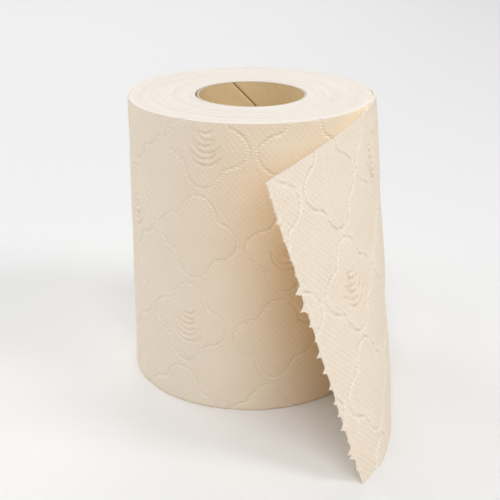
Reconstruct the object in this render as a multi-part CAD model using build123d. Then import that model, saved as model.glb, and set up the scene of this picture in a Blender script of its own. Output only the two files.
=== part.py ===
from build123d import *
from math import atan2, cos, degrees, pi, radians, sin, tau
import os

# A toilet paper roll standing on its end: a spiral-wound cardboard tube, and one long web of
# tissue wound round it, whose last sheet has come loose and stands out beside the roll.
# Millimetres and degrees. The origin is on the axis, at the foot of the roll, +Z up, and the
# loose sheet leaves the roll on the +X side and comes round towards -Y.

# Cardboard tube
core_bore = 40.0
core_wall = 0.7
seam_lead = 173.0  # height that the inner ply's butt seam climbs in one turn
seam_width = 0.8
seam_depth = 0.25
seam_angle = 108.0  # where the seam meets the top rim, from +X

# Wound tissue
roll_diameter = 92.0
roll_height = 110.0
web_thickness = 0.4  # two plies, embossed
core_clearance = 0.1  # air between the tube and the first turn
coarse_turns = 3  # spiral turns cut in each end face, for the many thin ones
turn_rise = 0.25  # how far a turn stands proud of its neighbours
turn_margin = 1.2  # plain ring left at the tube and at the outside

# Loose sheet
leaving_angle = 24.3  # where the sheet leaves the roll, from +X
sheet_length = 116.7  # from where it leaves the roll to its torn edge
crotch_gap = 0.12  # the sheet counts as free of the roll from this gap on
straight_run = 12.0  # first stretch, curved about upright lines only
bow_radii = (92.0, 87.0, 106.0, 900.0)  # bend of the sheet at even stations along it
gather = 0.86  # how near its leaning lines of bend come to meeting, 1 being at its edge
nib_pitch = 5.6  # torn perforation bonds along the free edge
nib_width = 1.3
nib_length = 0.7

# How finely the curves are worked out
fine_steps = 16  # stations along the straight run
facets = 30  # flat strips along the rest of the sheet
arcs_per_turn = 4

outer_radius = roll_diameter / 2
tube_radius = core_bore / 2 + core_wall
hollow_radius = tube_radius + core_clearance


def polar(radius, angle, height=0.0):
    # Angle in radians from +X
    return Vector(radius * cos(angle), radius * sin(angle), height)


def spiral(radius, growth, start_angle, first, last, height=0.0):
    # Arcs along a curve that grows by growth a turn, clockwise seen from above, between two
    # angles wound since start_angle
    def at(angle):
        return polar(radius + growth * angle / tau, start_angle - angle, height)

    count = max(1, round((last - first) / tau * arcs_per_turn))
    step = (last - first) / count
    starts = [first + i * step for i in range(count)]
    return [ThreePointArc(at(a), at(a + step / 2), at(a + step)) for a in starts]


def bend_at(distance):
    # Curvature between the given bows, in straight lines
    place = min(distance / sheet_length, 1.0) * (len(bow_radii) - 1)
    low = min(int(place), len(bow_radii) - 2)
    share = place - low
    return (1 - share) / bow_radii[low] + share / bow_radii[low + 1]


def lean_at(distance):
    # Slope of the line of bend: none where the sheet leaves the roll, none at its free edge.
    # Lines of bend can't cross inside the sheet, and gather says how near they come to it.
    if distance <= straight_run:
        return 0.0
    swing = sheet_length - straight_run
    most = gather * swing / (pi * roll_height / 2)
    return -most * sin(pi * (distance - straight_run) / swing)


def drape():
    # Walks along the sheet's middle line. Paper bends without stretching, so the sheet is
    # turned a little about one straight line at each station, and stays flat between them.
    start = radians(leaving_angle)
    point = polar(outer_radius, start, roll_height / 2)
    frame = (
        Vector(sin(start), -cos(start), 0),
        Vector(-cos(start), -sin(start), 0),
        Vector(0, 0, 1),
    )
    swing = sheet_length - straight_run
    places = [straight_run * i / fine_steps for i in range(fine_steps)]
    places += [straight_run + swing * i / facets for i in range(facets + 1)]
    stations = []
    for i, place in enumerate(places):
        before = place - places[max(i - 1, 0)]
        after = places[min(i + 1, len(places) - 1)] - place
        along, inward, across = frame
        line = across + along * lean_at(place)
        angle = degrees(bend_at(place) * line.length * (before + after) / 2)
        pivot = Axis((0, 0, 0), line)
        stations.append((point, inward.rotate(pivot, -angle / 2), line))
        frame = tuple(v.rotate(pivot, -angle) for v in frame)
        point = point + frame[0] * after
    return stations


def sheet_section(station):
    # The sheet cut along its line of bend, from the table to its top edge
    point, inward, line = station
    faces = (point, point + inward * web_thickness)
    feet = [p - line * (p.Z / line.Z) for p in faces]
    heads = [p + line * (roll_height / 2) for p in faces]
    return Face(Wire.make_polygon([feet[0], heads[0], heads[1], feet[1]]))


def flat_outline(stations):
    # Plan of the roll with its outer turn and the first stretch of the sheet
    start = radians(leaving_angle)
    outside = [Vector(point.X, point.Y, 0) for point, inward, line in stations]
    inside = [
        Vector(point.X, point.Y, 0) + inward * web_thickness
        for point, inward, line in stations
    ]
    inner_radius = outer_radius - web_thickness

    def passed(point):
        # Angle wound since the sheet left, clockwise seen from above
        return (start - atan2(point.Y, point.X)) % tau

    def gap(point):
        return point.length - inner_radius - web_thickness * passed(point) / tau

    parted = next(i for i in range(1, len(inside)) if gap(inside[i]) >= crotch_gap)
    around = spiral(inner_radius, web_thickness, start, passed(inside[parted]), tau)
    return make_face(
        [
            *around,
            Spline(*outside),
            Line(outside[-1], inside[-1]),
            Spline(*inside[:parted - 1:-1]),
            Line(inside[parted], around[0] @ 0),
        ]
    )


def turn_groove(height):
    # Spiral band sunk into an end face, half as wide as its pitch, so that turns stand proud
    low = hollow_radius + turn_margin
    high = outer_radius - web_thickness - turn_margin
    growth = (high - low) / (coarse_turns + 0.5)
    start = radians(leaving_angle)
    wound = coarse_turns * tau
    inner = spiral(low, growth, start, 0, wound, height)
    outer = spiral(low + growth / 2, growth, start, 0, wound, height)
    ends = [Line(inner[0] @ 0, outer[0] @ 0), Line(inner[-1] @ 1, outer[-1] @ 1)]
    face = make_face([*inner, *outer, *ends])
    return extrude(face, turn_rise)


def nibs(station):
    # Bits of the torn bonds, standing out of the free edge
    point, inward, line = station
    foot = point - line * (point.Z / line.Z)
    length = (point + line * (roll_height / 2) - foot).length
    count = int(length / nib_pitch)
    margin = (length - (count - 1) * nib_pitch) / 2
    bits = []
    for i in range(count):
        centre = foot + line * (margin + i * nib_pitch) + inward * (web_thickness / 2)
        plane = Plane(origin=centre, x_dir=line, z_dir=inward.cross(line))
        bits.append(extrude(plane * Rectangle(nib_width, web_thickness), nib_length))
    return bits


def make_tissue():
    stations = drape()
    outline = flat_outline(stations[: fine_steps + 1])
    roll = extrude(outline, roll_height, dir=(0, 0, 1))
    roll -= extrude(Circle(hollow_radius), roll_height)
    roll -= turn_groove(0)
    roll -= turn_groove(roll_height - turn_rise)
    sheet = loft([sheet_section(s) for s in stations[fine_steps:]], ruled=True)
    return roll + sheet + nibs(stations[-1])


def make_core():
    tube = Cylinder(tube_radius, roll_height, align=(Align.CENTER, Align.CENTER, Align.MIN))
    tube -= Cylinder(core_bore / 2, roll_height, align=(Align.CENTER, Align.CENTER, Align.MIN))
    # The seam of the inner ply, a shallow helical groove
    radius = core_bore / 2
    spare = seam_width + seam_depth
    foot_angle = seam_angle - 360 * (roll_height + spare) / seam_lead
    path = Helix(seam_lead, roll_height + 2 * spare, radius)
    path = Rot(0, 0, foot_angle) * Pos(0, 0, -spare) * path
    plane = Plane(origin=path @ 0, x_dir=(path @ 0) - Vector(0, 0, (path @ 0).Z), z_dir=path % 0)
    cutter = sweep(plane * Rectangle(2 * seam_depth, seam_width), path, is_frenet=True)
    return tube - cutter


os.makedirs("parts", exist_ok=True)
export_step(make_core(), "parts/cardboard_core.step")
export_step(make_tissue(), "parts/tissue_roll.step")
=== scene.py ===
import random

import bmesh
import bpy
import numpy as np
from mathutils import Matrix, Quaternion, Vector


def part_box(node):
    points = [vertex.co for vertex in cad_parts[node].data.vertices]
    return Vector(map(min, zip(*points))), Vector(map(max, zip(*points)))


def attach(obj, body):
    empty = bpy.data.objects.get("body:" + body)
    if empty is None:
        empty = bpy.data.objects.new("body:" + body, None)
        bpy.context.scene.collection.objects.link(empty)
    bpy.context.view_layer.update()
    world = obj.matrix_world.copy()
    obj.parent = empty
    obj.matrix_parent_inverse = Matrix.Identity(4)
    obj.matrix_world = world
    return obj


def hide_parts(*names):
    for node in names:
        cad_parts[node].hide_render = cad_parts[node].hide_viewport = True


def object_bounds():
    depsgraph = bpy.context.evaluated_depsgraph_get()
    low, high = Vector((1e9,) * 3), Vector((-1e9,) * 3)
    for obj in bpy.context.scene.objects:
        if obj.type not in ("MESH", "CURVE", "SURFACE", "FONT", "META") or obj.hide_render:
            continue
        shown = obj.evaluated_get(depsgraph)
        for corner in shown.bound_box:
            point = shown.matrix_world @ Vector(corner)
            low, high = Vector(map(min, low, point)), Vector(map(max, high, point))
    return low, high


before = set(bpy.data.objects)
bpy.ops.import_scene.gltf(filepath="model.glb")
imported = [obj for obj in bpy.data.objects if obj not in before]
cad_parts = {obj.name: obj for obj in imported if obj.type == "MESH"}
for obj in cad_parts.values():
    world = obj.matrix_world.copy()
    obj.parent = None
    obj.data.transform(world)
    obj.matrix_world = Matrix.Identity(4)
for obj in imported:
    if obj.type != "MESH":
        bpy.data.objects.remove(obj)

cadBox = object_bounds()
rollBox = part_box("tissue_roll")

roll = {
    "radius": 0.046,
    "height": rollBox[1].z,
    "webThickness": 0.0004,
    "hollowRadius": 0.0209,
    "leavingAngle": 24.3,
    "turns": 68,
}
turnLength = 2 * np.pi * roll["radius"]
sheetLength = 0.1167


# Small helpers

def clearSelection():
    if bpy.context.object and bpy.context.object.mode != "OBJECT":
        bpy.ops.object.mode_set(mode="OBJECT")
    bpy.ops.object.select_all(action="DESELECT")


def flatGrid(name, columns, rows, width, height):
    # A grid lying flat, its lower left corner at the origin
    clearSelection()
    bpy.ops.mesh.primitive_grid_add(x_subdivisions=columns, y_subdivisions=rows, size=1)
    piece = bpy.context.object
    piece.name = name
    piece.data.name = name
    piece.data.transform(Matrix.Diagonal((width, height, 1, 1)) @ Matrix.Translation((0.5, 0.5, 0)))
    return piece


def readPoints(piece):
    points = np.empty(len(piece.data.vertices) * 3)
    piece.data.vertices.foreach_get("co", points)
    return points.reshape(-1, 3)


def writePoints(piece, points):
    piece.data.vertices.foreach_set("co", np.ascontiguousarray(points, float).ravel())
    piece.data.update()


def editMesh(piece, work):
    mesh = bmesh.new()
    mesh.from_mesh(piece.data)
    work(mesh)
    mesh.to_mesh(piece.data)
    mesh.free()
    piece.data.update()


def writeUv(piece, across, up, name="webMap"):
    # The flat cut's own metres become the UV map, so patterns follow the paper
    loops = np.empty(len(piece.data.loops), int)
    piece.data.loops.foreach_get("vertex_index", loops)
    layer = piece.data.uv_layers.get(name) or piece.data.uv_layers.new(name=name)
    flat = np.stack([across, up], -1)
    layer.data.foreach_set("uv", flat[loops].astype(np.float32).ravel())


def writeValue(piece, name, values):
    attribute = piece.data.attributes.new(name, "FLOAT", "POINT")
    attribute.data.foreach_set("value", values.astype(np.float32))


def finishPiece(piece, material, sharpAngle=50):
    piece.data.materials.clear()
    piece.data.materials.append(material)
    clearSelection()
    piece.select_set(True)
    bpy.context.view_layer.objects.active = piece
    bpy.ops.object.shade_smooth_by_angle(angle=np.radians(sharpAngle))
    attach(piece, "root")
    print("made", piece.name, len(piece.data.polygons), "faces")


def softStep(low, high, value):
    share = np.clip((value - low) / (high - low), 0, 1)
    return share * share * (3 - 2 * share)


def ripples(seed, u, v, wavelength):
    # Soft uneven waves between -1 and 1, the same each run
    draw = random.Random(seed)
    total = 0
    for i in range(6):
        angle = draw.uniform(0, np.pi)
        k = 2 * np.pi / wavelength * draw.uniform(0.6, 1.7)
        total = total + np.sin(k * (np.cos(angle) * u + np.sin(angle) * v) + draw.uniform(0, 6.3))
    return total / 3.5


# Camera, where the photograph was taken from: a fit to the roll's outlines, with its size held

shot = {
    "place": (0, -0.38905, 0.20124),
    "pan": 0.0117,
    "tiltDown": 21.70,
    "turn": 0.287,
    "lens": 75.86,
    "sensor": 36,
}


def makeCamera():
    pan, tilt, turn = (np.radians(shot[k]) for k in ("pan", "tiltDown", "turn"))
    ahead = Vector((np.sin(pan) * np.cos(tilt), np.cos(pan) * np.cos(tilt), -np.sin(tilt)))
    level = Vector((np.cos(pan), -np.sin(pan), 0))
    above = level.cross(ahead)
    right = level * np.cos(turn) + above * np.sin(turn)
    up = above * np.cos(turn) - level * np.sin(turn)
    data = bpy.data.cameras.new("camera")
    data.lens = shot["lens"]
    data.sensor_width = shot["sensor"]
    data.clip_start = 0.01
    data.clip_end = 50
    camera = bpy.data.objects.new("camera", data)
    bpy.context.scene.collection.objects.link(camera)
    axes = Matrix((right, up, -ahead)).transposed().to_4x4()
    camera.matrix_world = Matrix.Translation(shot["place"]) @ axes
    bpy.context.scene.camera = camera


# How the web lies. The bows and the gather follow fits to the sheet's outline in the photograph.

drape = {
    "straightRun": 0.012,
    "bows": (0.092, 0.087, 0.106, 0.9),
    "gather": 0.86,
    "steps": 500,
    "hugUntil": 0.004,
    "hangsFrom": 0.022,
}


def layLooseSheet():
    # Marches along the middle of the sheet: it bends about leaning lines and never stretches
    length, start = sheetLength, drape["straightRun"]
    along = np.linspace(0, length, drape["steps"] + 1)
    step = along[1]
    swing = length - start
    most = drape["gather"] * swing / (np.pi * roll["height"] / 2)
    lean = np.where(along > start, -most * np.sin(np.pi * (along - start) / swing), 0)
    bend = np.interp(along, np.linspace(0, length, len(drape["bows"])), 1 / np.array(drape["bows"]))
    angle = np.radians(roll["leavingAngle"])
    tangent = Vector((np.sin(angle), -np.cos(angle), 0))
    inward = Vector((-np.cos(angle), -np.sin(angle), 0))
    across = Vector((0, 0, 1))
    point = Vector((np.cos(angle), np.sin(angle), 0)) * roll["radius"]
    point.z = roll["height"] / 2
    rows = []
    for i in range(len(along)):
        rows.append((*point, *tangent, *inward, *across))
        line = across + tangent * lean[i]
        turn = Quaternion(line, -bend[i] * line.length * step)
        middle = Quaternion(line, -bend[i] * line.length * step / 2)
        point = point + (middle @ tangent) * step
        tangent, inward, across = turn @ tangent, turn @ inward, turn @ across
    return along, lean, np.array(rows)


sheetAlong, sheetLean, sheetFrames = layLooseSheet()


def footOfSheet(u):
    # Height of the web at which it meets the table
    middle, tangent, across = sheetFrames[:, 0:3], sheetFrames[:, 3:6], sheetFrames[:, 9:12]
    line = across + sheetLean[:, None] * tangent
    low = np.maximum(-roll["height"] / 2, -middle[:, 2] / line[:, 2])
    return np.interp(u, sheetAlong + low * sheetLean, low + roll["height"] / 2)


def placeWound(u, v, lift):
    angle = np.radians(roll["leavingAngle"]) - u / roll["radius"]
    radius = roll["radius"] + roll["webThickness"] * u / turnLength + lift
    return np.stack([radius * np.cos(angle), radius * np.sin(angle), v], -1)


def placeLoose(u, v, lift):
    w = v - roll["height"] / 2
    low, high = np.full_like(u, -0.01), np.full_like(u, sheetLength + 0.01)
    for i in range(40):  # halves in on the line of bend that passes through each point
        guess = (low + high) / 2
        past = guess + w * np.interp(guess, sheetAlong, sheetLean) > u
        high, low = np.where(past, guess, high), np.where(past, low, guess)
    s = np.clip(guess, 0, sheetLength)
    frames = np.stack([np.interp(s, sheetAlong, c) for c in sheetFrames.T], -1)
    tangent, inward, across = frames[:, 3:6], frames[:, 6:9], frames[:, 9:12]
    line = across + np.interp(s, sheetAlong, sheetLean)[:, None] * tangent
    points = frames[:, 0:3] + w[:, None] * line + (guess - s)[:, None] * tangent
    # At first the paper clings to the turn beneath it, closer than its middle line runs
    free = np.hypot(points[:, 0], points[:, 1]) - roll["radius"]
    cling = np.maximum(free, 0) * (1 - softStep(drape["hugUntil"], drape["hangsFrom"], u))
    return points + (cling - lift)[:, None] * inward


def placeWeb(u, v, lift):
    wound = u <= 0
    points = np.empty((len(u), 3))
    points[wound] = placeWound(u[wound], v[wound], lift[wound])
    if not wound.all():
        points[~wound] = placeLoose(u[~wound], v[~wound], lift[~wound])
    return points


# Embossing: four-lobed flowers on a slightly turned square lattice, every second one with a
# rosette of open arcs in its middle, on a ground of small dots. Each lattice is given by the
# middle of one flower, the step to the next one along the web, and the step to the next one up.
# Both lattices and the flower's outline follow fits to the photograph. The arcs are given.

emboss = {
    "wound": ((-0.17725, 0.06767), (0.03423, 0.00397), (-0.00397, 0.03423)),
    "loose": ((0.08311, 0.09801), (0.03745, 0.00318), (-0.00531, 0.03493)),
    "flowersBetween": 8,
    "driftFrom": -0.050,
    "driftTo": 0.095,
    "crispTo": 0.035,
    "pitch": 0.0345,
    "waist": 0.0110,
    "lobe": 0.0048,
    "roundness": 1.5,
    "grooveDepth": 0.00046,
    "looseDepth": 0.00078,
    "topDepth": 0.00074,
    "topFrom": 0.055,
    "topTo": 0.100,
    "grooveWidth": 0.00052,
    "shoulder": 0.35,
    "shoulderWidth": 2.3,
    "pillow": 0.00014,
    "pillowReach": 0.0035,
    "arcs": 6,
    "arcSway": 0.0004,
    "arcTilt": 14,
    "arcReach": 88,
    "arcLoss": 6,
    "arcFade": 18,
    "arcLowest": -0.0074,
    "arcStep": 0.00225,
    "arcRadius": 0.0066,
    "arcShrink": 0.00095,
    "arcSmallest": 0.0034,
    "arcDepth": 1.35,
    "arcWidth": 0.00050,
    "dotsPerFlower": 15.25,
    "dotDepth": 0.00009,
    "looseDotDepth": 0.00030,
    "edgeShare": 0.55,
    "edgeFrom": 0.003,
    "edgeTo": 0.0005,
    "topEdgeFrom": 0.025,
    "topEdgeTo": 0.060,
}


def latticeAt(u, v):
    # Counts flowers along the web and up it. The pattern runs a little wide on the loose sheet.
    found = []
    for centre, along, up in (emboss["wound"], emboss["loose"]):
        size = along[0] * up[1] - along[1] * up[0]
        x, y = u - centre[0], v - centre[1]
        found.append(((x * up[1] - y * up[0]) / size, (y * along[0] - x * along[1]) / size))
    share = softStep(emboss["driftFrom"], emboss["driftTo"], u)
    a = found[0][0] * (1 - share) + (found[1][0] + emboss["flowersBetween"]) * share
    b = found[0][1] * (1 - share) + found[1][1] * share
    return a, b


def embossAt(u, v):
    # Returns how far the paper stands out, and how near each point is to a pressed line
    e = emboss
    a, b = latticeAt(u, v)
    column, row = np.round(a), np.round(b)
    x, y = (a - column) * e["pitch"], (b - row) * e["pitch"]
    distance, angle = np.hypot(x, y), np.arctan2(y, x)
    wave = np.maximum(np.abs(np.cos(2 * angle)), 0.02)
    edge = e["waist"] + e["lobe"] * wave ** e["roundness"]
    slope = e["lobe"] * e["roundness"] * wave ** (e["roundness"] - 1) * 2 * np.abs(np.sin(2 * angle))
    away = (distance - edge) / np.sqrt(1 + (slope / edge) ** 2)
    # Winding has pressed the wound turn flatter than the sheet that hangs free
    loose = softStep(e["driftFrom"], e["crispTo"], u)
    high = softStep(e["topFrom"], e["topTo"], v)
    crisp = e["looseDepth"] + (e["topDepth"] - e["looseDepth"]) * high
    depth = e["grooveDepth"] + (crisp - e["grooveDepth"]) * loose

    def groove(offset, width):
        bulge = e["shoulder"] * np.exp(-((offset / width / e["shoulderWidth"]) ** 2))
        return np.exp(-((offset / width) ** 2)) - bulge

    lift = e["pillow"] * softStep(0, e["pillowReach"], -away) - depth * groove(away, e["grooveWidth"])
    pressed = np.exp(-((away / (2 * e["grooveWidth"])) ** 2))
    rosette = (column + row) % 2 == 1
    for i in range(e["arcs"]):
        # The arcs hang one above the other, each shorter and turned a little against the last
        side = 1 if i % 2 else -1
        radius = max(e["arcSmallest"], e["arcRadius"] - e["arcShrink"] * i)
        cx, cy = side * e["arcSway"], e["arcLowest"] + e["arcStep"] * i + radius
        around = np.degrees(np.arctan2(y - cy, x - cx)) + 90 + e["arcTilt"] * side
        around = (around + 180) % 360 - 180
        opened = softStep(0, e["arcFade"], e["arcReach"] - e["arcLoss"] * i - np.abs(around))
        line = groove(np.hypot(x - cx, y - cy) - radius, e["arcWidth"]) * opened
        lift = lift - e["arcDepth"] * depth * line * rosette
    dots = 2 * np.pi * e["dotsPerFlower"]
    dotDepth = e["dotDepth"] + (e["looseDotDepth"] - e["dotDepth"]) * loose
    lift = lift - dotDepth * np.cos(dots * a) * np.cos(dots * b)
    return lift * (1 - (1 - e["edgeShare"]) * edgeAt(u, v)), pressed


def edgeAt(u, v):
    # Towards the loose sheet's cut and torn edges its plies lie close together
    start, end = emboss["edgeFrom"], emboss["edgeTo"]
    side = softStep(sheetLength - start, sheetLength - end, u)
    top = softStep(roll["height"] - start, roll["height"] - end, v)
    return np.maximum(side, top * softStep(emboss["topEdgeFrom"], emboss["topEdgeTo"], u))


# Materials

def addNode(tree, kind, inputs=None, **settings):
    node = tree.nodes.new(kind)
    for name, value in settings.items():
        setattr(node, name, value)
    for key, value in (inputs or {}).items():
        if isinstance(value, bpy.types.NodeSocket):
            tree.links.new(value, node.inputs[key])
        else:
            node.inputs[key].default_value = value
    return node


def maths(tree, operation, first, second=0.5, third=0.5):
    return addNode(tree, "ShaderNodeMath", {0: first, 1: second, 2: third}, operation=operation).outputs[0]


def newMaterial(name, specular):
    material = bpy.data.materials.new(name)
    material.use_nodes = True
    tree = material.node_tree
    shader = tree.nodes["Principled BSDF"]
    shader.inputs["Specular IOR Level"].default_value = specular
    return material, tree, shader


def objectPlace(tree):
    return addNode(tree, "ShaderNodeTexCoord").outputs["Object"]


def mapPlace(tree, name):
    return addNode(tree, "ShaderNodeUVMap", uv_map=name).outputs["UV"]


def split(tree, vector):
    return addNode(tree, "ShaderNodeSeparateXYZ", {0: vector}).outputs


def attribute(tree, name):
    return addNode(tree, "ShaderNodeAttribute", attribute_name=name).outputs["Fac"]


def noise(tree, place, scale, detail):
    inputs = {"Vector": place, "Scale": scale, "Detail": detail}
    return addNode(tree, "ShaderNodeTexNoise", inputs).outputs["Fac"]


def ramp(tree, value, low, high, start=0, end=1):
    # Goes from start to end while value goes from low to high, and stays level past them
    inputs = {"Value": value, "From Min": low, "From Max": high, "To Min": start, "To Max": end}
    return addNode(tree, "ShaderNodeMapRange", inputs).outputs[0]


def blendColours(tree, share, first, second, **settings):
    # Each colour is fixed, or comes from another node
    ends = [c if isinstance(c, bpy.types.NodeSocket) else (*c, 1) for c in (first, second)]
    inputs = {"Factor": share, "A": ends[0], "B": ends[1]}
    return addNode(tree, "ShaderNodeMix", inputs, data_type="RGBA", **settings).outputs["Result"]


def mottle(tree, wide, fine, low, high):
    # Two noises of the same weight, as one share between two colours
    weight = 0.6
    both = maths(tree, "ADD", maths(tree, "MULTIPLY", wide, weight), maths(tree, "MULTIPLY", fine, weight))
    return ramp(tree, both, low, high)


def setRelief(tree, shader, height):
    bump = addNode(tree, "ShaderNodeBump", {"Height": height, "Strength": 1, "Distance": 1})
    tree.links.new(bump.outputs["Normal"], shader.inputs["Normal"])


def setRoughness(tree, shader, value, limits):
    tree.links.new(ramp(tree, value, 0, 1, *limits), shader.inputs["Roughness"])


tissue = {
    "light": (0.95, 0.84, 0.705),
    "dark": (0.925, 0.805, 0.66),
    "mottled": (0.35, 0.85),
    "cloudScale": 60,
    "fleckScale": 900,
    # Painted shade in the dimples
    "dimple": 0.045,
    "dimpleShade": (0.5, 0.36, 0.22),
    # Pressed lines: denser paper, with a painted highlight on the wound turn and painted shade on the free
    # sheet
    "pressed": (1.0, 0.91, 0.78),
    "loosePressedShade": (0.86, 0.73, 0.57),
    "pressedPaintedShare": 0.55,
    "looseFrom": 0.03,
    # Painted highlight on the free sheet's raised rims
    "rim": (1.0, 0.92, 0.81),
    "rimHighlightShare": 0.9,
    # Painted shade behind the loose sheet, and painted light near the top where it meets the roll
    "sheltered": (0.85, 0.70, 0.51),
    "shelteredFrom": 0.5,
    "shelterReach": 0.025,
    "crotch": (1.00, 1.00, 0.96),
    "crotchHeights": (0.088, 0.102),
    "crotchShelter": (0.08, 0.35),
    "endLight": (0.875, 0.82, 0.755),
    "endDark": (0.855, 0.795, 0.72),
    "cutShare": 0.6,
    "cutBand": (0.0004, 0.0002),
    "dashHeight": 0.00007,
    "fibreScale": 1400,
    "fibreHeight": 0.00002,
    "backLines": 0.0003,
    "backLineWidth": 1.3,
    "backDots": 0.00007,
    "specular": 0.1,
    "roughness": (0.88, 1.0),
}


def drawDots(tree, across, up):
    # 1 in the middle of each dimple, -1 between them
    dots = 1
    for side in (across, up):
        turned = maths(tree, "MULTIPLY", side, 2 * np.pi * emboss["dotsPerFlower"])
        dots = maths(tree, "MULTIPLY", maths(tree, "COSINE", turned), dots)
    return dots


def drawFlowers(tree, across, up):
    # 1 along the flowers' outlines, worked out from the map alone
    x = maths(tree, "SUBTRACT", across, maths(tree, "ROUND", across))
    y = maths(tree, "SUBTRACT", up, maths(tree, "ROUND", up))
    xx, yy = maths(tree, "MULTIPLY", x, x), maths(tree, "MULTIPLY", y, y)
    reach = maths(tree, "MAXIMUM", maths(tree, "ADD", xx, yy), 0.000001)
    wave = maths(tree, "ABSOLUTE", maths(tree, "DIVIDE", maths(tree, "SUBTRACT", xx, yy), reach))
    lobes = maths(tree, "POWER", wave, emboss["roundness"])
    lobe, waist, width = (emboss[k] / emboss["pitch"] for k in ("lobe", "waist", "grooveWidth"))
    edge = maths(tree, "MULTIPLY_ADD", lobes, lobe, waist)
    away = maths(tree, "SUBTRACT", maths(tree, "SQRT", reach), edge)
    near = maths(tree, "DIVIDE", away, tissue["backLineWidth"] * width)
    return maths(tree, "POWER", np.e, maths(tree, "MULTIPLY", maths(tree, "MULTIPLY", near, near), -1))


def drawWebRelief(tree, place, pressed, dots, across, up):
    # Short level dashes along the pressed lines, one to each row of dots
    rows = maths(tree, "MULTIPLY", up, 4 * np.pi * emboss["dotsPerFlower"])
    dashes = maths(tree, "MULTIPLY", maths(tree, "COSINE", rows), pressed)
    fibres = noise(tree, place, tissue["fibreScale"], 3)
    height = maths(tree, "MULTIPLY", dashes, tissue["dashHeight"])
    height = maths(tree, "ADD", height, maths(tree, "MULTIPLY", fibres, tissue["fibreHeight"]))
    # The back of the paper shows the same pattern standing out
    lines = maths(tree, "MULTIPLY", drawFlowers(tree, across, up), tissue["backLines"])
    relief = maths(tree, "MULTIPLY_ADD", dots, tissue["backDots"], lines)
    return maths(tree, "MULTIPLY_ADD", relief, attribute(tree, "backFace"), height)


def paintLightAndShadeOnPressedLines(tree, colour, pressed, along):
    # Pressed lines are denser paper, and their colour also holds painted light: a painted highlight makes
    # them a little paler on the wound turn, and painted shade makes them darker where the sheet is free
    free = ramp(tree, along, 0, tissue["looseFrom"])
    line = blendColours(tree, free, tissue["pressed"], tissue["loosePressedShade"])
    narrow = maths(tree, "POWER", pressed, 4)
    colour = blendColours(tree, maths(tree, "MULTIPLY", narrow, tissue["pressedPaintedShare"]), colour, line)
    # Painted highlight: the free sheet's raised rims are made paler
    rims = maths(tree, "MULTIPLY", maths(tree, "SUBTRACT", pressed, narrow), free)
    rims = maths(tree, "MULTIPLY", rims, tissue["rimHighlightShare"])
    return blendColours(tree, rims, colour, tissue["rim"])


def tintShelter(tree, colour, height):
    # A painted tint that stands for the shade behind the loose sheet and the light coming through it:
    # darker and warmer there, and brighter near the top, where the sheet meets the roll
    shelter = attribute(tree, "shelter")
    far = ramp(tree, shelter, 0, tissue["shelteredFrom"])
    paintedShadeTint = blendColours(tree, far, (1, 1, 1), tissue["sheltered"])
    close = ramp(tree, shelter, *tissue["crotchShelter"])
    close = maths(tree, "MULTIPLY", close, ramp(tree, height, *tissue["crotchHeights"]))
    paintedShadeAndLight = blendColours(tree, close, paintedShadeTint, tissue["crotch"])
    return blendColours(tree, 1, colour, paintedShadeAndLight, blend_type="MULTIPLY")


def makeWebMaterial():
    material, tree, shader = newMaterial("embossedTissue", tissue["specular"])
    place = objectPlace(tree)
    pattern = split(tree, mapPlace(tree, "patternMap"))
    flat = split(tree, mapPlace(tree, "webMap"))
    pressed = attribute(tree, "pressed")
    dots = drawDots(tree, pattern["X"], pattern["Y"])
    height = drawWebRelief(tree, place, pressed, dots, pattern["X"], pattern["Y"])
    setRelief(tree, shader, height)
    # Uneven pulp: wide soft clouds and fine flecks
    clouds = noise(tree, place, tissue["cloudScale"], 4)
    flecks = noise(tree, place, tissue["fleckScale"], 2)
    pulp = mottle(tree, clouds, flecks, *tissue["mottled"])
    colour = blendColours(tree, pulp, tissue["light"], tissue["dark"])
    # Painted shade: each dimple is darkened a little towards brown
    dimplePaintedShade = maths(tree, "MULTIPLY_ADD", dots, tissue["dimple"], tissue["dimple"])
    colour = blendColours(tree, dimplePaintedShade, colour, tissue["dimpleShade"])
    colour = paintLightAndShadeOnPressedLines(tree, colour, pressed, flat["X"])
    colour = tintShelter(tree, colour, split(tree, place)["Z"])
    # The cut top edge is as pale as the ends of the wound turns
    low, high = (roll["height"] - depth for depth in tissue["cutBand"])
    cut = ramp(tree, flat["Y"], low, high, 0, tissue["cutShare"])
    colour = blendColours(tree, cut, colour, tissue["endLight"])
    tree.links.new(colour, shader.inputs["Base Color"])
    setRoughness(tree, shader, flecks, tissue["roughness"])
    return material


streaks = {
    "across": 2600,
    "along": 70,
    "mottled": (0.35, 0.75),
    "height": 0.00005,
    "fuzzScale": 1600,
    "fuzzHeight": 0.00004,
}


def makeTurnsMaterial():
    material, tree, shader = newMaterial("tissueEdges", tissue["specular"])
    place = objectPlace(tree)
    parts = split(tree, place)
    flat = addNode(tree, "ShaderNodeCombineXYZ", {"X": parts["X"], "Y": parts["Y"]}).outputs[0]
    radius = addNode(tree, "ShaderNodeVectorMath", {0: flat}, operation="LENGTH").outputs["Value"]
    # Streaks that follow the turns, fine across them and long along them
    stretched = {
        "X": maths(tree, "MULTIPLY", radius, streaks["across"]),
        "Y": maths(tree, "MULTIPLY", parts["X"], streaks["along"]),
        "Z": maths(tree, "MULTIPLY", parts["Y"], streaks["along"]),
    }
    turned = addNode(tree, "ShaderNodeCombineXYZ", stretched).outputs[0]
    streak = noise(tree, turned, 1, 3)
    share = ramp(tree, streak, *streaks["mottled"])
    colour = blendColours(tree, share, tissue["endLight"], tissue["endDark"])
    tree.links.new(colour, shader.inputs["Base Color"])
    fuzz = noise(tree, place, streaks["fuzzScale"], 3)
    height = maths(tree, "MULTIPLY", streak, streaks["height"])
    height = maths(tree, "ADD", height, maths(tree, "MULTIPLY", fuzz, streaks["fuzzHeight"]))
    setRelief(tree, shader, height)
    setRoughness(tree, shader, fuzz, tissue["roughness"])
    return material


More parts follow.
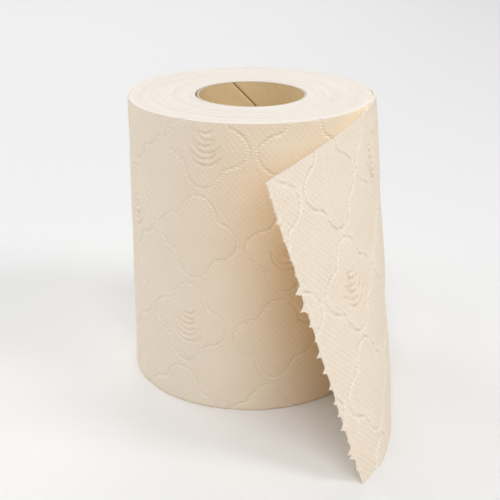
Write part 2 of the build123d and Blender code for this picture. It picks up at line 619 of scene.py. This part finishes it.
board = {
    "light": (0.88, 0.705, 0.43),
    "dark": (0.77, 0.59, 0.34),
    "mottled": (0.35, 0.9),
    "grainScale": (900, 90, 1),
    "grainHeight": 0.00003,
    "fleckScale": 1200,
    "seam": (0.16, 0.09, 0.04),
    # The rim's colour is partly the cut edge's own, partly painted shade
    "rim": (0.60, 0.50, 0.36),
    "rimShadeBand": (0.0007, 0.0005),
    "specular": 0.25,
    "roughness": (0.65, 0.9),
}


def makeBoardMaterial():
    material, tree, shader = newMaterial("tubeBoard", board["specular"])
    place = objectPlace(tree)
    # Grain that runs along the winding of the tube
    stretched = {"Vector": mapPlace(tree, "webMap"), "Scale": board["grainScale"]}
    grain = noise(tree, addNode(tree, "ShaderNodeMapping", stretched).outputs[0], 1, 4)
    flecks = noise(tree, place, board["fleckScale"], 3)
    share = mottle(tree, grain, flecks, *board["mottled"])
    colour = blendColours(tree, share, board["light"], board["dark"])
    # The seam's glue and shadow darken a thin line
    colour = blendColours(tree, attribute(tree, "seam"), colour, board["seam"])
    # The cut rim is greyer and darker: partly the board's cut edge, partly painted shade
    low, high = (roll["height"] - depth for depth in board["rimShadeBand"])
    cut = ramp(tree, split(tree, place)["Z"], low, high)
    colour = blendColours(tree, cut, colour, board["rim"])
    tree.links.new(colour, shader.inputs["Base Color"])
    height = maths(tree, "MULTIPLY", maths(tree, "ADD", grain, flecks), board["grainHeight"])
    setRelief(tree, shader, height)
    setRoughness(tree, shader, flecks, board["roughness"])
    return material


webMaterial = makeWebMaterial()
turnsMaterial = makeTurnsMaterial()
boardMaterial = makeBoardMaterial()


# Torn bits of the perforation along the free edge: height up the edge, length. Twelve of the
# heights are read from the photograph. The rest, and all the lengths, are given.

bits = {
    "places": (
        (0.1056, 0.0006), (0.1010, 0.0003), (0.0972, 0.0009), (0.0910, 0.0004), (0.0847, 0.0006),
        (0.0795, 0.0007), (0.0740, 0.0026), (0.0680, 0.0026), (0.0620, 0.0013), (0.0565, 0.0007),
        (0.0513, 0.0019), (0.0454, 0.0018), (0.0395, 0.0015), (0.0338, 0.0013), (0.0292, 0.0011),
        (0.0245, 0.0017), (0.0192, 0.0006), (0.0155, 0.0026), (0.0138, 0.0021), (0.0085, 0.0005),
    ),
    "edgeBand": 0.0016,
    "bondWidth": 0.0013,
    "hollow": 0.00035,
    "ragged": 0.00008,
    "raggedWaves": (0.0011, 0.0030),
    "usualLength": 0.002,
    "lengthSpread": (0.8, 1.15),
    "width": 0.0032,
    "widthSpread": (0.75, 1.1),
    "leastWidth": 0.45,
    "widthGain": 220,
    "taper": 0.80,
    "pinch": 0.22,
    "thickness": 0.00014,
    "overlap": 0.0006,
    "jag": (0.00007, 0.00006),
    "ripple": 0.00012,
    "droop": 0.0007,
    "droopSpread": (0.2, 1.3),
    "curl": 0.0006,
    "curlSpread": (-0.6, 1.2),
}


# The web's plies, each a thin closed slab: a fine embossed face, and a coarse face that is hidden

ply = {
    "fine": 0.00038,
    "middling": 0.00042,
    "plain": 0.00060,
    "coarse": 4,
    "woundThickness": 0.00066,
    "looseThickness": 0.00080,
    "edgeThickness": 0.00036,
    "footTurnsIn": 0.00050,
    "footHeight": 0.0012,
    "pressedUntil": 0.006,
    "openFrom": 0.020,
    "pressedBy": 0.00040,
    "wobble": 0.00010,
    "wavelength": 0.022,
    "looseFrom": 0.03,
    "looseWobble": 0.00025,
    "looseWavelength": 0.030,
}


def flatSlab(name, fromU, toU, cell, fromV=0):
    # Two flat grids a unit apart, and a rim that joins their unequal edges
    coarse = ply["coarse"]
    width, height = toU - fromU, roll["height"] - fromV
    columns = coarse * round(width / cell / coarse)
    rows = coarse * round(height / cell / coarse)
    face = flatGrid(name, columns, rows, width, height)
    back = flatGrid(name + "Back", columns // coarse, rows // coarse, width, height)
    back.data.transform(Matrix.Translation((0, 0, -1)))
    back.data.flip_normals()
    clearSelection()
    back.select_set(True)
    face.select_set(True)
    bpy.context.view_layer.objects.active = face
    bpy.ops.object.join()

    def closeRim(mesh):
        loose = [x for x in mesh.verts if x.is_boundary]
        for axis, other, at in ((0, 1, 0), (0, 1, height), (1, 0, 0), (1, 0, width)):
            side = [x for x in loose if abs(x.co[other] - at) < 1e-6]
            top = sorted((x for x in side if x.co.z > -0.5), key=lambda x: x.co[axis])
            low = sorted((x for x in side if x.co.z < -0.5), key=lambda x: x.co[axis])
            for i in range(len(low) - 1):
                mesh.faces.new(top[i * coarse : (i + 1) * coarse + 1] + [low[i + 1], low[i]])
        bmesh.ops.recalc_face_normals(mesh, faces=mesh.faces)

    editMesh(face, closeRim)
    face.data.transform(Matrix.Translation((fromU, fromV, 0)))
    return face


def puckers(u, v):
    # Soft waves of the paper, a little larger where it hangs loose
    loose = softStep(0, ply["looseFrom"], u)
    tight = ply["wobble"] * ripples(3, u, v, ply["wavelength"])
    return tight + loose * ply["looseWobble"] * ripples(5, u, v, ply["looseWavelength"])


def looseBack(u, v):
    # Depth of the loose sheet's hidden face
    return -ply["looseThickness"] + (ply["looseThickness"] - ply["edgeThickness"]) * edgeAt(u, v)


def shapePly(piece, thickness=0, parted=0):
    # Lifts the flat slab's fine face by the embossing, and lays both faces where the web lies
    flat = readPoints(piece)
    u, v, hidden = flat[:, 0], flat[:, 1], flat[:, 2] < -0.5
    foot = np.where(u > 0, footOfSheet(u), 0)
    v = foot + v * (1 - foot / roll["height"])
    u = u + softStep(sheetLength - bits["edgeBand"], sheetLength, u) * tornEdge(v)
    lift, pressed = embossAt(u, v)
    if parted:
        lift = looseBack(u, v) + corner["thickness"]
        back = looseBack(u, v) - corner["proud"]
    else:
        back = looseBack(u, v) if u.max() > 0 else -thickness
        # Where the loose sheet still clings to it, the turn beneath is pressed flat
        covered = 1 - softStep(ply["pressedUntil"] - turnLength, ply["openFrom"] - turnLength, u)
        lift = lift * (1 - covered) - ply["pressedBy"] * covered
        # The foot of the roll turns in a little where it stands
        low = (1 - softStep(0, ply["footHeight"], v)) ** 2
        lift = lift - (u <= 0) * ply["footTurnsIn"] * low
    height = puckers(u, v) + np.where(hidden, back, lift) - parted * cornerShare(u, v)
    u = u - corner["shorter"] * cornerShare(u, v) * (parted > 0)
    points = placeWeb(u, v, height)
    points[:, 2] = np.maximum(points[:, 2], 0)
    writePoints(piece, points)
    editMesh(piece, lambda mesh: bmesh.ops.recalc_face_normals(mesh, faces=mesh.faces))
    writeUv(piece, u, v)
    writeUv(piece, *latticeAt(u, v), "patternMap")
    writeValue(piece, "pressed", np.where(hidden, 0, pressed))
    writeValue(piece, "backFace", hidden)
    return points


def tornEdge(v):
    # The free edge is hollowed a little between the torn bonds, and ragged
    near = sum(np.exp(-(((v - place) / bits["bondWidth"]) ** 2)) for place, length in bits["places"])
    ragged = sum(ripples(8 + i, v, v, wave) for i, wave in enumerate(bits["raggedWaves"]))
    return bits["hollow"] * (np.minimum(near, 1) - 1) + bits["ragged"] * ragged


def shelterAt(points):
    # How much of what faces each point, close by, is the loose sheet
    count, reach = 26, tissue["shelterReach"]
    u, v = np.meshgrid(np.linspace(0, sheetLength, count), np.linspace(0, roll["height"], count))
    sheet = placeLoose(u.ravel(), v.ravel(), np.zeros(count * count))
    area = sheetLength * roll["height"] / count**2
    total = np.zeros(len(points))
    for spot in sheet[sheet[:, 2] > 0]:
        total += np.exp(-np.sum((points - spot) ** 2, 1) / (2 * reach**2))
    return np.clip(total * area / (2 * np.pi * reach**2), 0, 1)


def makeWoundSheets():
    # The outermost turn holds two whole sheets and a part of a third, between perforations
    ends = [0, -sheetLength, -2 * sheetLength, -turnLength]
    for i in range(3):
        piece = flatSlab("woundSheet" + "ABC"[i], ends[i + 1], ends[i], ply["middling"])
        points = shapePly(piece, ply["woundThickness"])
        # The first of them lies open, up to where the loose sheet leaves the roll
        writeValue(piece, "shelter", shelterAt(points) * (i > 0))
        finishPiece(piece, webMaterial)
        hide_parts("tissue_roll")


corner = {
    "gap": 0.0010,
    "shorter": 0.0016,
    "thickness": 0.00014,
    "proud": 0.00002,
    "fromEdge": 0.045,
    "fromTop": 0.024,
    "margin": 0.004,
}


def cornerShare(u, v):
    # The back ply has parted from the front one near the sheet's upper corner
    near = softStep(sheetLength - corner["fromEdge"], sheetLength, u)
    high = softStep(roll["height"] - corner["fromTop"], roll["height"], v)
    return near * high


def makeLooseSheet():
    front = flatSlab("looseSheet", 0, sheetLength, ply["fine"])
    shapePly(front)
    finishPiece(front, webMaterial)
    # Where the back ply has parted, it comes out of the sheet's hidden face
    near = sheetLength - corner["fromEdge"] - corner["margin"]
    tall = corner["fromTop"] + corner["margin"]
    back = flatSlab("partedPly", near, sheetLength, ply["plain"], roll["height"] - tall)
    shapePly(back, parted=corner["gap"])
    finishPiece(back, webMaterial)
    cuts = ((front, (roll["height"], sheetLength)), (back, (tall, sheetLength - near)))
    for piece, flat in cuts:
        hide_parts("tissue_roll")
    return front, back


def makeTornBits(name, seed, depth, grow):
    draw = random.Random(seed)
    pieces = []
    for height, length in bits["places"]:
        length = length * grow * draw.uniform(*bits["lengthSpread"])
        width = bits["width"] * draw.uniform(*bits["widthSpread"])
        width = width * (bits["leastWidth"] + bits["widthGain"] * length)
        droop = bits["droop"] * draw.uniform(*bits["droopSpread"]) * length / bits["usualLength"]
        curl = bits["curl"] * draw.uniform(*bits["curlSpread"]) * length / bits["usualLength"]
        piece = flatGrid(name, 7, 6, 1, 1)
        points = readPoints(piece)
        t, across = points[:, 0], points[:, 1] - 0.5
        jag = np.array([draw.uniform(-1, 1) for i in range(len(t))])
        pinch = 1 + bits["pinch"] * np.sin(8 * t + draw.uniform(0, 6))
        narrow = (1 - bits["taper"] * t ** 0.9) * pinch
        # The middle of a bit reaches further than its sides
        reach = (length + bits["overlap"]) * t * (1 - 0.35 * (2 * across) ** 2 * t)
        points[:, 0] = sheetLength - bits["overlap"] + reach + bits["jag"][0] * jag * t
        points[:, 1] = height + across * width * narrow - droop * t * t + bits["jag"][1] * jag
        points[:, 2] = curl * t * t + bits["ripple"] * np.sin(5 * across + 6 * t) * t
        writePoints(piece, points)
        pieces.append(piece)
    clearSelection()
    for piece in pieces:
        piece.select_set(True)
    bpy.context.view_layer.objects.active = pieces[0]
    bpy.ops.object.join()
    piece = bpy.context.object
    piece.name = name
    solid = piece.modifiers.new("paper", "SOLIDIFY")
    solid.thickness = bits["thickness"]
    solid.offset = 0
    bpy.ops.object.modifier_apply(modifier="paper")
    flat = readPoints(piece)
    u, v = flat[:, 0].copy(), np.clip(flat[:, 1], footOfSheet(flat[:, 0]), roll["height"])
    lift = flat[:, 2] + depth + puckers(u, v)
    points = placeWeb(u, v, lift)
    points[:, 2] = np.maximum(points[:, 2], 0)
    writePoints(piece, points)
    editMesh(piece, lambda mesh: bmesh.ops.recalc_face_normals(mesh, faces=mesh.faces))
    writeUv(piece, u, v)
    writeUv(piece, *latticeAt(u, v), "patternMap")
    writeValue(piece, "pressed", np.zeros(len(u)))
    finishPiece(piece, webMaterial, 80)
    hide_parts("tissue_roll")
    return piece


# Edges of the wound turns, on both ends, and the wall of the hollow

turns = {
    "segments": 180,
    "linesPerTurn": 3,
    "valley": 0.00012,
    "unevenness": 0.00006,
    "knots": 5,
    "deepest": 0.0006,
    "clearance": 0.00002,
    "levelFrom": 0.0015,
    "levelShare": 0.85,
}


def makeWoundTurns():
    count, lines, segments = roll["turns"], turns["linesPerTurn"], turns["segments"]
    rows = (count + 1) * lines
    low, deepest = roll["hollowRadius"], turns["deepest"]
    outermost = roll["radius"] - roll["webThickness"] - ply["woundThickness"] - turns["clearance"]
    pitch = (outermost - low) / count
    draw = random.Random(11)
    steps = (count + 3) * turns["knots"]
    heights = np.array([draw.gauss(0, 0.5) for i in range(steps)])
    ends = []
    for top in (True, False):
        end = flatGrid("woundTurns", segments, rows, 1, rows / lines)
        points = readPoints(end)
        wound, line = points[:, 0], np.round(points[:, 1] * lines).astype(int)
        turn = line / lines + wound - 1
        radius = low + np.maximum(turn, 0) * pitch
        angle = np.radians(roll["leavingAngle"]) - 2 * np.pi * wound
        uneven = np.interp((turn + 1) * turns["knots"], np.arange(steps), heights) * turns["unevenness"]
        edge = np.clip(0.5 + uneven / deepest, 0, 1) * deepest
        sunk = deepest - edge + np.where(line % lines == 0, turns["valley"], 0)
        # The outermost turns stand level with the sheet round them
        sunk *= 1 - turns["levelShare"] * softStep(outermost - turns["levelFrom"], outermost, radius)
        height = roll["height"] - sunk if top else sunk
        writePoints(end, np.stack([radius * np.cos(angle), radius * np.sin(angle), height], -1))
        ends.append(end)
    clearSelection()
    for end in ends:
        end.select_set(True)
    bpy.context.view_layer.objects.active = ends[0]
    bpy.ops.object.join()
    piece = bpy.context.object
    piece.name = "woundTurns"
    bpy.ops.object.mode_set(mode="EDIT")
    bpy.ops.mesh.select_all(action="SELECT")
    bpy.ops.mesh.remove_doubles(threshold=0.000015)
    bpy.ops.mesh.dissolve_degenerate(threshold=0.000002)
    bpy.ops.object.mode_set(mode="OBJECT")

    def closeWalls(mesh):
        # Joins the two ends' inner rims, and their outer rims
        middle = (low + roll["radius"]) / 2
        for inside in (True, False):
            rim = [
                x for x in mesh.edges
                if x.is_boundary and ((x.verts[0].co.xy.length < middle) == inside)
            ]
            bmesh.ops.bridge_loops(mesh, edges=rim)
        bmesh.ops.recalc_face_normals(mesh, faces=mesh.faces)

    editMesh(piece, closeWalls)
    finishPiece(piece, turnsMaterial, 60)
    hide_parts("tissue_roll")
    return piece


# Cardboard tube

tube = {
    "bore": 0.020,
    "wall": 0.0007,
    "lead": 0.130,
    "seamAngle": 112,
    "seamWidth": 0.0005,
    "seamDepth": 0.00030,
    "lap": 0.00012,
    "lapReach": 0.004,
    "columns": 150,
    "rows": 100,
    "sunk": 0.0004,
    "oval": 0.008,
    "dent": 0.0009,
    "dentAngle": 172,
    "dentSpread": 0.12,
    "dentHeight": 0.016,
}


def makeTube():
    piece = flatGrid("coreTube", tube["columns"], tube["rows"], 1, 1)
    points = readPoints(piece)
    place, v = points[:, 0].copy(), points[:, 1] * (roll["height"] - tube["sunk"])
    around = 2 * np.pi * tube["bore"]
    step = 1 / tube["columns"]
    # The columns next to the seam come close to it, so that it is a narrow groove
    narrow = tube["seamWidth"] / around
    place[np.abs(place - step) < step / 4] = narrow
    place[np.abs(place - 1 + step) < step / 4] = 1 - narrow
    seam = (place < narrow / 2) | (place > 1 - narrow / 2)
    lap = tube["lap"] * np.exp(-place * around / tube["lapReach"])
    angle = np.radians(tube["seamAngle"]) + 2 * np.pi * (place - (roll["height"] - v) / tube["lead"])
    radius = tube["bore"] * (1 + tube["oval"] * np.cos(2 * angle)) + tube["seamDepth"] * seam - lap
    # The rim has been pushed in a little on one side, away from the tissue
    near = np.exp((np.cos(angle - np.radians(tube["dentAngle"])) - 1) / tube["dentSpread"])
    radius -= tube["dent"] * near * softStep(roll["height"] - tube["dentHeight"], roll["height"], v)
    writePoints(piece, np.stack([radius * np.cos(angle), radius * np.sin(angle), v], -1))
    writeUv(piece, place * around, v)
    writeValue(piece, "seam", seam.astype(float))
    clearSelection()
    piece.select_set(True)
    bpy.context.view_layer.objects.active = piece
    bpy.ops.object.mode_set(mode="EDIT")
    bpy.ops.mesh.select_all(action="SELECT")
    bpy.ops.mesh.remove_doubles(threshold=0.00001)
    bpy.ops.mesh.normals_make_consistent(inside=True)
    bpy.ops.object.mode_set(mode="OBJECT")
    solid = piece.modifiers.new("board", "SOLIDIFY")
    solid.thickness = tube["wall"]
    solid.offset = -1
    bpy.ops.object.modifier_apply(modifier="board")
    points = readPoints(piece)
    points[:, 2] = np.clip(points[:, 2], 0, roll["height"] - tube["sunk"])
    writePoints(piece, points)
    finishPiece(piece, boardMaterial, 40)
    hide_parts("cardboard_core")


# Floor and light. The lamps' strengths began as a fit to the photograph's tones and were then
# changed.

studio = {
    "sky": (1.0, 1.0, 1.0),
    "skyStrength": 0.34,
    "floorSize": 12,
    "floorColours": ((0.86, 0.86, 0.86), (0.875, 0.875, 0.875)),
    "floorClouds": 3,
    "floorSpecular": 0.2,
    "floorRoughness": 0.7,
    "aim": (0, -0.02, 0.05),
    "lamps": (
        ("front", (0.0, -0.8, 1.3), 0.7, 7.0),
        ("leftFront", (-0.8, -0.5, 1.3), 0.7, 1.8),
        ("right", (1.0, -0.5, 1.1), 0.5, 6.0),
        ("left", (-1.3, 0.1, 0.7), 0.9, 1.2),
        ("back", (0.0, 1.3, 0.9), 0.9, 4.6),
        ("leftBack", (-1.0, 0.8, 0.9), 0.9, 4.8),
    ),
    "through": {
        "place": (1.0, -0.35, 0.45),
        "aim": (0.043, -0.016, 0.108),
        "angle": 3.4,
        "size": 0.02,
        "power": 14,
    },
}


def placeLamp(data, place, aim):
    lamp = bpy.data.objects.new(data.name, data)
    lamp.location = place
    lamp.rotation_euler = (Vector(aim) - lamp.location).to_track_quat("-Z", "Y").to_euler()
    bpy.context.scene.collection.objects.link(lamp)
    return lamp


def makeSky():
    # An even white room
    world = bpy.data.worlds.new("studio")
    world.use_nodes = True
    sky = world.node_tree.nodes["Background"]
    sky.inputs["Color"].default_value = (*studio["sky"], 1)
    sky.inputs["Strength"].default_value = studio["skyStrength"]
    bpy.context.scene.world = world


def makeFloorMaterial():
    material, tree, shader = newMaterial("floorPaint", studio["floorSpecular"])
    shader.inputs["Roughness"].default_value = studio["floorRoughness"]
    cloud = noise(tree, objectPlace(tree), studio["floorClouds"], 3)
    tree.links.new(blendColours(tree, cloud, *studio["floorColours"]), shader.inputs["Base Color"])
    return material


def makeStudio():
    size = studio["floorSize"]
    floor = flatGrid("floor", 8, 8, size, size)
    floor.data.transform(Matrix.Translation((-size / 2, -size / 2, cadBox[0].z)))
    floor.data.materials.append(makeFloorMaterial())
    makeSky()
    for name, place, size, power in studio["lamps"]:
        data = bpy.data.lights.new(name, "AREA")
        data.shape = "DISK"
        data.size = size
        data.energy = power
        placeLamp(data, place, studio["aim"])
    makeLightThroughPaper()
    bpy.context.scene.view_settings.view_transform = "Standard"
    print("studio ready")


def makeLightThroughPaper():
    # A lamp that stands for the light that comes through the loose sheet. It casts no shadow and
    # lights the wound sheets alone.
    through = studio["through"]
    data = bpy.data.lights.new("throughPaper", "SPOT")
    data.energy = through["power"]
    data.spot_size = np.radians(through["angle"])
    data.spot_blend = 1
    data.shadow_soft_size = through["size"]
    data.use_shadow = False
    lamp = placeLamp(data, through["place"], through["aim"])
    lit = bpy.data.collections.new("litThroughPaper")
    for letter in "ABC":
        lit.objects.link(bpy.data.objects["woundSheet" + letter])
    lamp.light_linking.receiver_collection = lit


makeCamera()
makeTube()
makeWoundTurns()
makeWoundSheets()
makeLooseSheet()
makeTornBits("tornBitsFront", 21, -0.00012, 1.0)
makeTornBits("tornBitsBack", 22, -0.00045, 0.7)
makeStudio()
